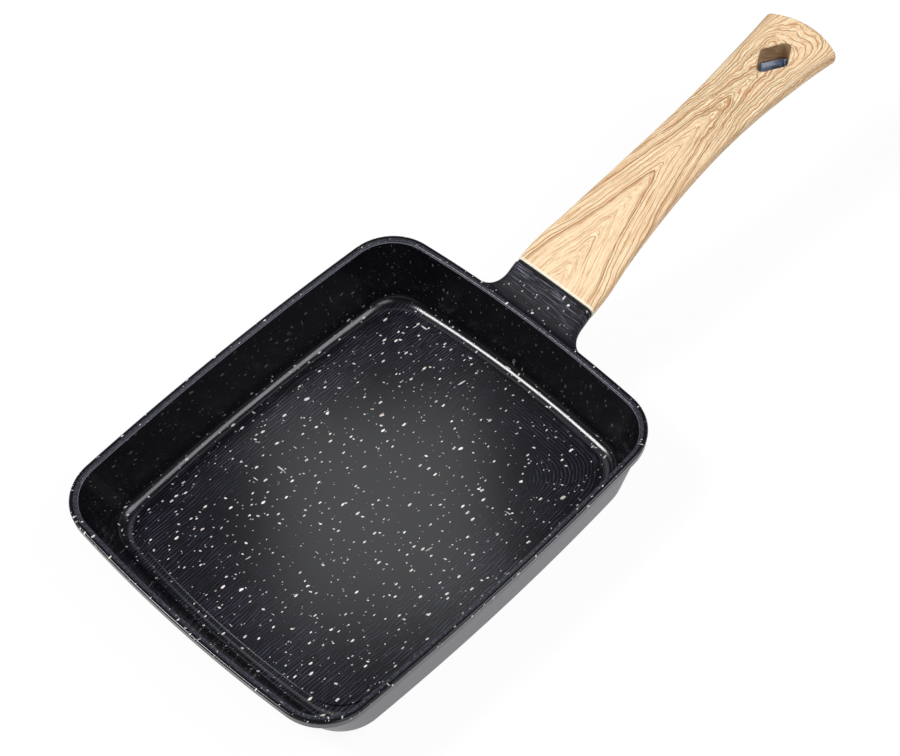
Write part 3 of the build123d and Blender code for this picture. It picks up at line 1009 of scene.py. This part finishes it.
# %% [markdown]
# ## The speckled coating
# Stone-look coatings are sprayed in two steps. First comes a dark base, then a fine
# spatter of white and cream drops, drawn out a little by the gun's movement. One layer
# of cells makes one kind of drop: each cell has a point, and its random numbers say
# whether it holds a drop, how large and how bright. Layers of other sizes and directions
# give the small faint drops, the big ones and the rare long ones.

# %% Specks
# Size and pitch in millimetres, share of cells with a drop, stretch, turn in degrees, light
drop_layers = (
    (0.38, 3.5, 0.6, 2.2, 87, 1),
    (0.34, 4.0, 0.36, 1.8, 25, 0.9),
    (0.6, 10, 0.3, 2.0, 75, 1),
    (0.25, 2.4, 0.36, 1.7, 82, 0.5),
    (0.28, 7, 0.2, 6, 3, 0.8),
    (0.26, 9, 0.22, 6, 78, 0.7),
)


def specks(finish, x, y, size, pitch, share, stretch, turn, bright):
    """Brightness from 0 to 1 of one layer of drops.

    The plane is turned and squeezed along the drops' direction before the cells are laid
    out, so that round drops in the cells are long on the pan. Sizes are in millimetres."""
    c, s = math.cos(math.radians(turn)), math.sin(math.radians(turn))
    along, across = x * c + y * s, y * c - x * s
    cells = finish.cells(along / (pitch * stretch) + turn, across / pitch + size)
    distance, first, second, third = cells
    radius = (second * second * 0.9 + 0.35) * (size / pitch)
    drop = distance.fall(radius * 0.75, radius * 1.02) * (first < share)
    return drop * (third * 0.4 + 0.6) * bright


def spatter(finish, x, y):
    """All layers of drops together: the brightest one at each point."""
    wobble = 0.5
    u = x + (finish.noise(x / 0.9, y / 0.9) - 0.5) * wobble
    v = y + (finish.noise(x / 0.9, y / 0.9, 7.0) - 0.5) * wobble
    total = 0
    for layer in drop_layers:
        total = specks(finish, u, v, *layer).most(total)
    return total


# %% [markdown]
# Under the drops lie the marks of the tools that finished the casting. On the floor they
# are fine wavy lines along the pan, and near the neck they turn and run beside the wall.
# They are plain waves of one coordinate, warped by slow noise, and they show only towards
# the floor's edge. The rim's flat top has lost some coating, so it is mottled grey. A thin
# bright line at its inner edge is a painted highlight. The outside is satin. The neck has
# long thin streaks across it, and its underside is satin as the outside is.

# %% Marks under the drops
line_pitch = 1.3
bare_metal = down[0] / MM - 20  # only the pegs lie lower than this in `around`


def floor_lines(finish, x, y, along, down, from_edge):
    """Strength of the floor's fine lines, from 0 to 1.

    They are waves across x, and near the neck waves across the way down."""
    warp = (finish.noise(x / 14, y / 26) - 0.5) * 5 + (finish.noise(x / 3, y / 7, 5.0) - 0.5) * 1.4
    lines = ((x + warp + y * y * x * 0.00001) * (math.tau / line_pitch)).sine() * 0.5
    lines = lines + (finish.noise(x / 0.5, y / 7, 2.0, detail=3) - 0.5) * 2.6
    rings = ((down + warp * 0.4) * (math.tau / line_pitch)).sine() * 0.5
    rings = rings + (finish.noise(down / 0.5, along / 7, 2.0) - 0.5) * 2.2
    near_neck = y.rise(20, 50) * (x + y).rise(45, 75)
    lines = lines * (1 - near_neck) + rings * near_neck * (x.rise(0, 40) * 0.7 + 0.3)
    patches = finish.noise(x / 18, y / 18, 9.0).rise(0.35, 0.6) * 0.6 + 0.4
    return (lines * from_edge.fall(6, 46) * from_edge.rise(-1, 1) * patches).cut()


# %% The vessel's coating
def feed_drops(finish, x, y, drops, base):
    """White and cream drops over a base colour. A patch of the pan has more of one kind."""
    creamy = finish.noise(x / 5, y / 5, 4.0).rise(0.4, 0.6)
    drop_colour = finish.mix(creamy, colour(255, 255, 255), colour(255, 240, 228))
    finish.feed("Base Color", finish.mix(drops, base, drop_colour))


def vessel_coating(name):
    """The coating of the vessel: every mask is a range of the way down from the rim's edge."""
    finish = Finish(name)
    x, y = finish.flat("laid_flat")
    along, down = finish.flat("around")
    from_edge = down - from_rim[floor_row] / MM
    lines = floor_lines(finish, x, y, along, down, from_edge)
    mottle = finish.noise(along / 1.1, down / 0.5, detail=3).rise(0.42, 0.62)
    rim_top = down.rise(1.0, 1.6) * down.fall(2.9, 3.3)
    # A thin bright line at the rim's inner edge: a painted highlight.
    lip_highlight = down.rise(2.95, 3.15) * down.fall(3.3, 3.5)
    outside = down.fall(-2.0, -1.2)
    brushing = finish.noise(along / 25, down / 0.5).rise(0.3, 0.8)
    satin = finish.mix(brushing, colour(68, 68, 77), colour(84, 84, 94))
    bare = down.fall(bare_metal - 1, bare_metal)
    base = finish.layered(
        finish.mix(lines, colour(12, 12, 17), colour(66, 66, 82)),
        (rim_top * (mottle * 0.75 + 0.25), colour(70, 70, 80)),
        (lip_highlight * 0.7, colour(190, 190, 205)),
        (outside, satin),
        (bare, colour(196, 197, 200)),
    )
    # The inner walls keep only a faint share of the drops, which paints shade on them.
    wall = from_edge.fall(-4, -1) * down.rise(2, 4)
    drops = spatter(finish, x, y) * (1 - wall * 0.87) * (1 - outside * 0.92)
    feed_drops(finish, x, y, drops, base)
    finish.feed("Roughness", outside * 0.18 + drops * 0.25 + bare * 0.2 + 0.2)
    finish.feed("Metallic", bare)
    finish.bump(lines * 0.6 + drops, 0.02)
    return finish.material


# %% The neck's coating
def neck_coating(name):
    """The coating of the neck: streaks on top, more of them towards its end, and satin below."""
    finish = Finish(name, Specular_IOR_Level=0.12)
    x, y = finish.flat("laid_flat")
    _, _, z = finish.place()
    to_end = y.rise(90, 104)
    streaks = finish.noise(x / 9, y / 0.3, detail=3).rise(0.5, 0.72) * (to_end * 0.92 + 0.08)
    fine = finish.noise(x / 3, y / 0.22, 3.0).rise(0.6, 0.78) * (to_end * 0.9 + 0.1)
    below = z.fall(24, 30)
    base = finish.layered(
        colour(17, 17, 23),
        ((streaks * 0.8 + fine * 0.5).cut(), colour(150, 150, 166)),
        (below, colour(62, 62, 71)),
    )
    drops = spatter(finish, x, y) * (1 - below * 0.85)
    feed_drops(finish, x, y, drops, base)
    finish.feed("Roughness", drops * 0.25 + 0.5)
    finish.bump(streaks, 0.02)
    return finish.material


# %% [markdown]
# ## The oak print
# The wood look is a printed film, drawn over the moulding in hot water. Its picture is a
# plain-sawn oak board: nested arches where the saw cut across the rings, and straight
# lines at the sides. Every arch is a line on which one number is constant. Here that
# number is the distance from the front plus a term that grows with the distance from the
# middle line, so arches point at the tail. Towards the tail the term changes, and the
# lines bend along the tail's edge.

# %% The number behind the arches
arch_slope, arch_roundness, tip_root = 76, 0.016, 0.126
side_steepness, mean_half_width = 5.4, 14


def grain_of(finish):
    """The field, in millimetres along the handle, and what else the print follows.

    With a for the way across in half widths, an arch is the slope times the root of a
    squared plus a roundness: straight sides and a round tip. Near the tail it becomes a
    loop: a little of a squared, much of a to the sixth, and straight again beyond the
    handle's edge. steep is how much closer together the lines lie there than at a tip:
    the root of one plus the squared slope. rough is where the wood is wavy. Noise warps
    both the field and a."""
    across, along = finish.flat("grain")
    across = across / 1000
    a = abs(across + (finish.noise(across * 1.2, along / 22) - 0.5) * 0.2)
    near = a.least(1)
    root = (a * a + arch_roundness) ** 0.5
    tail = along.rise(100, 136)
    loops = a * a * 6 + near**6 * 54 + (a - near) * arch_slope
    arches = (root - tip_root) * arch_slope
    field = along + arches * (1 - tail) + loops * tail
    loop_steepness = a * 0.75 + near**5 * 20 * (a < 1) + (a > 1) * side_steepness
    steep = a / root * side_steepness * (1 - tail) + loop_steepness * tail
    steep = (steep * steep + 1) ** 0.5
    rough = along.rise(66, 88) * along.fall(118, 134)
    slow, quick = (8 + rough * 10), (1 + rough * 4) * a.fall(0.2, 0.6)
    field = field + (finish.noise(across * 2.2, along / 9, 1.0, detail=3) - 0.5) * slow
    field = field + (finish.noise(across * 9, along / 3, 2.0) - 0.5) * quick
    return SimpleNamespace(
        across=across, along=along, width=across * mean_half_width, side=abs(across),
        a=a, field=field, steep=steep, tail=tail, rough=rough,
    )


# %% [markdown]
# A printed line is dark on the inside of its arch and fades outwards. Bold and thin arches
# lie at chosen places along the handle, and the flanks and the tail have lines at an even
# pitch.

# %% Arches and lines of the print
# Tip in millimetres from the front, thickness, reach in half widths, strength
arch_places = {
    "bold": ((57, 0.6, 3, 1), (100, 0.8, 3, 1), (121, 0.7, 3, 1)),
    "thin": (
        (53, 0.35, 3, 0.64), (22, 0.5, 0.3, 0.8), (61.5, 0.4, 3, 0.8), (70, 0.4, 3, 0.8),
        (81, 0.35, 3, 0.8), (91, 0.5, 3, 0.8), (104, 0.45, 3, 0.8), (109, 0.5, 0.45, 0.8),
        (116, 0.45, 3, 0.8),
    ),
}


def arches(finish, grain, places):
    """The given arches together: the darkest one at each point.

    Each is a line inside its arch, with gaps, and it fades at its reach from the middle."""
    total = 0
    for tip, thickness, reach, strength in places:
        inside = (tip - grain.field) / grain.steep
        gaps = finish.noise(grain.across * 3, grain.along / 12, float(tip)).rise(0.25, 0.5)
        line = inside.rise(-0.15, 0.05) * inside.fall(thickness * 0.3, thickness)
        line = line * (gaps * 0.8 + 0.2) * grain.a.fall(reach * 0.6, reach)
        total = (line * strength).most(total)
    return total


def lines(grain, pitch, thickness, shift=0.0):
    """Dark lines where the field passes a whole number of pitches, all of one thickness."""
    spacing = pitch / grain.steep
    inside = (1 - (grain.field / pitch + shift).fraction()) * spacing
    return inside.fall(0, spacing * 0.45).rise(0, 0.9) * inside.fall(thickness * 0.4, thickness)


def dark_lines(finish, grain):
    """Bold and thin arches, lines on the flanks, and broken arcs round the tail."""
    bold, thin = (arches(finish, grain, places) for places in arch_places.values())
    strong = finish.noise(grain.across * 3, grain.along / 40, 4.0).rise(0.35, 0.6) * 0.7 + 0.3
    flanks = lines(grain, 7.4, 0.65) * grain.field.rise(122, 127) * strong
    broken = finish.noise(grain.across * 4, grain.along / 7, 5.0).rise(0.35, 0.5)
    arcs = lines(grain, 3.1, 0.6, 0.6) * grain.tail * grain.a.fall(0.5, 0.8) * broken
    return (bold + thin + flanks + arcs * 0.85).cut()


# %% [markdown]
# Between the lines the print has short strokes and glints that follow the same field, long
# fibres, and small dark pores. Three bold arches have filled tips. Painted shade darkens the
# hole's wall, the long edges, where it also marks the moulding's parting line, and a band
# along the tail's rounded edge. The front edge shows the pale moulding.

# %% Wood
# Where a filled tip starts, where it is full, where it ends, and its strength
filled_tips = ((47, 56, 57, 0.7), (90, 92, 100, 1), (112, 120, 121, 0.7))
tail_band_bow = 4.5


def seam_and_edge_shade(grain):
    """Painted shade on the long edges, at one half width from the middle, where it also marks the
    moulding's parting line, and on a band along the tail's arc.
    """
    past = grain.along + grain.side.least(1) ** 2 * tail_band_bow - handle_length / MM
    long_edges = grain.side.rise(0.95, 1.0) * grain.side.fall(1.02, 1.08)
    return (long_edges * 0.3 + past.rise(0, 0.9) * past.fall(3.5, 5.5) * 0.7).cut()


def oak(name):
    """The oak print: lines where the field passes chosen values, and strokes that follow it."""
    finish = Finish(name, roughness=0.6, Specular_IOR_Level=0.3)
    grain = grain_of(finish)
    field, width, along, rough = grain.field, grain.width, grain.along, grain.rough
    dark = dark_lines(finish, grain)
    tips = 0
    for low, high, tip, strength in filled_tips:
        tips = field.rise(low, high) * field.fall(tip, tip + 0.5) * strength + tips
    tips = tips * grain.a.fall(0.15, 0.45)
    patchy = finish.noise(width / 4, along / 6, 8.0).rise(0.35, 0.6)
    shadow = lines(grain, 21.3, 2.6, 0.32) * patchy
    at_tip = grain.a.fall(0.05, 0.25)
    flow = finish.noise(field / 2.3, width / 2.6, 3.0) * (1 - at_tip)
    flow = flow + finish.noise(field / 1.1, width / 1.5, 5.0) * at_tip
    strokes = flow.rise(0.55, 0.62) * (rough * 0.35 + 0.5)
    glints = flow.fall(0.42, 0.49) * (rough * 0.35 + 0.45)
    fibres = finish.noise(width / 0.28, along / 5, detail=3).rise(0.54, 0.72)
    pores = finish.noise(width / 0.35, along / 2.0, 3.0).rise(0.62, 0.72)
    shade = finish.noise(field / 6, grain.across * 2, 6.0, detail=3).rise(0.35, 0.7)
    # The hanging hole's wall is darkened: painted shade.
    hole_shade = grain.side.rise(wall_mark - 0.5, wall_mark - 0.3)
    wood = finish.layered(
        finish.mix(shade * 0.7, colour(253, 220, 178), colour(243, 203, 156)),
        ((tips * 0.75 + shadow * 0.45).cut(), colour(210, 160, 112)),
        ((glints + lines(grain, 7.4, 1.2, 0.86) * 0.4).cut(), colour(255, 240, 202)),
        ((fibres * 0.35 + pores * 0.45 + strokes).cut(), colour(208, 156, 104)),
        (dark * 0.85, colour(180, 120, 74)),
        # Painted shade on the edges, which also marks the moulding's parting line, and in the hanging
        # hole.
        (seam_and_edge_shade(grain), colour(196, 140, 76)),
        (hole_shade * 0.7, colour(128, 92, 52)),
        (along.fall(0.4, 1.3), colour(255, 246, 222)),
    )
    finish.feed("Base Color", wood)
    finish.bump(1 - dark * 0.7 - strokes * 0.35 - pores * 0.25 + glints * 0.4, 0.25)
    return finish.material


# %% [markdown]
# ## Metal and seal
# The eyelet and the screw are plain bright steel, and the plate under the base is steel
# too, brushed in one direction: its roughness and colour vary in long thin streaks. The
# seal between neck and handle is black and matt.

# %% Steel and seal
def steel(name, tint, roughness, brushed=0.0):
    """Bare steel. Where it is brushed, long thin streaks change its roughness and its tint."""
    finish = Finish(name, roughness=roughness, Metallic=1.0, Base_Color=tint)
    if brushed:
        x, y, z = finish.place()
        streak = finish.noise(x / 0.3, y / 30, z)
        finish.feed("Roughness", streak * brushed + (roughness - brushed / 2))
        finish.feed("Base Color", finish.mix(streak, tint, colour(225, 227, 230)))
    return finish.material


def dress(node, material):
    """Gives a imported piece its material."""
    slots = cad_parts[node].data.materials
    if not slots:
        slots.append(material)
    for k in range(len(slots)):
        slots[k] = material


vessel.data.materials.append(vessel_coating("coating"))
neck.data.materials.append(neck_coating("neck coating"))
handle.data.materials.append(oak("oak print"))
dress("induction_plate", steel("brushed steel", colour(188, 190, 194), 0.35, 0.2))
dress("hanging_eyelet", steel("eyelet steel", colour(150, 158, 172), 0.32))
for node in ("handle_screw", "spring_washer", "flat_washer"):
    dress(node, steel("bright steel", colour(196, 197, 200), 0.3))
dress("neck_gasket", Finish("seal", roughness=0.8, Base_Color=colour(12, 12, 13)).material)
for piece in (vessel, neck, handle):
    material = piece.data.materials[0]
    print(f"{material.name}: {len(material.node_tree.nodes)} nodes")

# %% [markdown]
# ## Table and light
# The photograph's background is plain white. The table is white for the eye and for
# reflections, and otherwise a plain pale surface, so it adds no light of its own to the
# pan. A trace of a matt surface in the white keeps the pan's shadow. The table is a large
# disc with a raised rim, so a low view shows no dark world behind it.

# %% Table
table_reach, table_bend, table_rim = 4.0, 0.6, 1.3
table_glow, table_sheen, table_pale = 0.92, (0.09, 0.09, 0.09, 1), (0.8, 0.8, 0.8, 1)


def table_grid():
    """The disc's edge in rings of 96 points: a quarter circle up and out, then straight up."""
    bends = np.linspace(0.2, math.pi / 2, 6)
    reaches = table_reach + table_bend * np.array([0, *np.sin(bends), 1])
    heights = np.array([0, *(table_bend * (1 - np.cos(bends))), table_rim])
    turns = np.linspace(0, math.tau, 97)[:-1]
    rings = reaches[:, None, None] * np.column_stack([np.cos(turns), np.sin(turns)])
    return np.concatenate([rings, np.broadcast_to(heights[:, None, None], (8, 96, 1))], axis=-1)


def white_to_the_eye(name):
    """White to the eye, in reflections and through glass, and plain to all other light."""
    finish = Finish(name, roughness=1.0, Base_Color=table_pale, Specular_IOR_Level=0.0)

    def shader(kind, inputs):
        return Number(finish, finish.node(kind, {}, inputs).outputs[0])

    path = finish.node("ShaderNodeLightPath", {}, {}).outputs
    seen = Number(finish, path["Is Camera Ray"])
    for ray in ("Is Glossy Ray", "Is Transmission Ray"):
        seen = seen.most(Number(finish, path[ray]))
    glow = shader("ShaderNodeEmission", {"Color": (1, 1, 1, 1), "Strength": table_glow})
    sheen = shader("ShaderNodeBsdfDiffuse", {"Color": table_sheen})
    white = shader("ShaderNodeAddShader", {0: glow, 1: sheen})
    plain = Number(finish, finish.shader.outputs[0])
    both = shader("ShaderNodeMixShader", {0: seen, 1: plain, 2: white})
    finish.tree.links.new(both.socket, finish.tree.nodes["Material Output"].inputs["Surface"])
    return finish.material


grid = table_grid()
index = np.arange(grid.shape[0] * grid.shape[1]).reshape(grid.shape[:2])
beside = np.roll(index, -1, axis=1)
bands = np.stack([index[:-1], beside[:-1], beside[1:], index[1:]], axis=-1).reshape(-1, 4)
table_mesh = bpy.data.meshes.new("table")
table_mesh.from_pydata(grid.reshape(-1, 3), [], [index[0].tolist(), *bands.tolist()])
table = bpy.data.objects.new("table", table_mesh)
table.data.materials.append(white_to_the_eye("table"))
bpy.context.scene.collection.objects.link(table)
print(f"table {2 * table_reach:.0f} m across, with {len(bands)} faces in its rim")

# %% [markdown]
# Four lamps and a faint cool world light the pan. The key lies to the left and in front. It
# lights the handle and draws the bright line along the rounded foot of the neck-side wall.
# The fill and the right lamp lighten the sides that the key leaves dark. The pan's floor
# reflects what lies up and to the left, behind it: a weak narrow lamp there makes the soft
# light patch.

# %% Lamps and world
world = bpy.data.worlds.new("studio")
bpy.context.scene.world = world
world.use_nodes = True
background = world.node_tree.nodes["Background"].inputs
background["Color"].default_value = (0.88, 0.93, 1, 1)
background["Strength"].default_value = 0.12


def lamp(name, target, direction, distance, width, height, energy, tint=(1, 1, 1), spread=180):
    """A soft lamp, width by height in metres, that lies in a direction from a target and faces it.

    spread is the angle of its beam in degrees: a small one dims it away from the target."""
    light = bpy.data.lights.new(name, "AREA")
    light.shape = "RECTANGLE"
    light.size, light.size_y, light.energy = width, height, energy
    light.color, light.spread = tint, math.radians(spread)
    thing = bpy.data.objects.new(name, light)
    toward = Vector(direction).normalized()
    thing.location = Vector(target) + toward * distance
    thing.rotation_euler = toward.to_track_quat("Z", "Y").to_euler()
    bpy.context.scene.collection.objects.link(thing)
    print(f"{name}: {energy} W from {distance} m")


pan_side = (0, 0.05, 0.02)
lamp("key", (0, 0.075, 0.01), (-0.43, -0.43, 0.79), 1.6, 0.4, 0.38, 16)
lamp("fill", pan_side, (0.6, -0.2, 0.77), 1.1, 0.45, 0.45, 2.4, (0.93, 0.95, 1))
lamp(
    "patch", (0.006, -0.006, 0.004), (-0.41, 0.352, 0.842), 0.4, 0.12, 0.12, 0.0052,
    (0.96, 0.97, 1), spread=44,
)
lamp("right", pan_side, (0.49, 0.39, 0.78), 1.1, 0.45, 0.6, 5.4, (0.94, 0.95, 1))
bpy.context.scene.view_settings.view_transform = "Standard"
